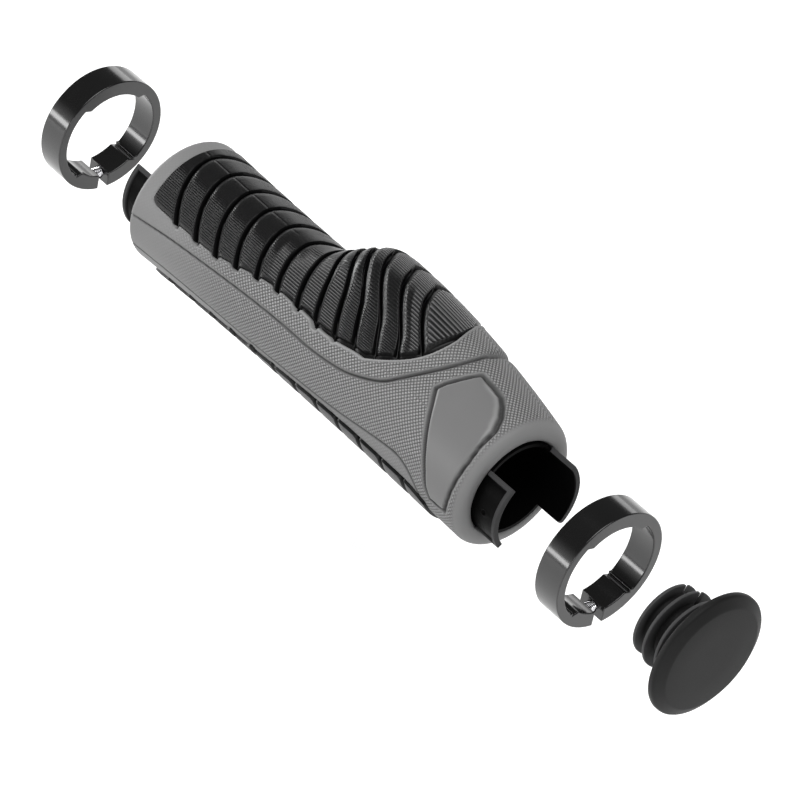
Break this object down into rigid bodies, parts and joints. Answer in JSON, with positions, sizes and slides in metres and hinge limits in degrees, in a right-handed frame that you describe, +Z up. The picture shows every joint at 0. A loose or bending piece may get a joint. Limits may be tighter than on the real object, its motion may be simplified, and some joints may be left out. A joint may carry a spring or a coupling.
{
  "type": "handlebar grip",
  "caption": "Left-hand lock-on handlebar grip with a palm wing, ribbed pads, an inner sleeve, split clamp rings with screws and a push-in end plug, drawn apart along the bar.",
  "frame": {"origin": "on the handlebar's axis, in the plane where the sleeve's outer tabs end", "axes": "+X along the bar's axis towards the bar's outer end, +Z up out of the crown of the palm pad, +Y towards the rider, the side of the palm wing"},
  "size_m": [0.2244, 0.0392, 0.0388],
  "materials": {
    "grey_rubber": "matt with a fine raised diamond grain",
    "black_rubber": "satin with fine ribs and leather grain",
    "black_plastic": "moulded, semi-matt",
    "plug_plastic": "fine matt",
    "black_anodised": "black anodised, glossy",
    "screw_steel": "bright"
  },
  "bodies": {
    "grip": {"rubber_body": "grey_rubber", "palm_pad": "black_rubber", "finger_pad": "black_rubber", "inner_sleeve": "black_plastic"},
    "inner_ring": {"inner_clamp_ring": "black_anodised", "inner_clamp_screw": "screw_steel"},
    "outer_ring": {"outer_clamp_ring": "black_anodised", "outer_clamp_screw": "screw_steel"},
    "plug": {"end_plug": "plug_plastic"}
  },
  "joints": [
    {"name": "inner_ring_slide", "type": "slide", "parent": "grip", "child": "inner_ring", "axis": [1, 0, 0], "range_m": [0, 0.029]},
    {"name": "outer_ring_slide", "type": "slide", "parent": "grip", "child": "outer_ring", "axis": [-1, 0, 0], "range_m": [0, 0.0245]},
    {"name": "plug_slide", "type": "slide", "parent": "outer_ring", "child": "plug", "axis": [-1, 0, 0], "range_m": [0, 0.03]}
  ]
}
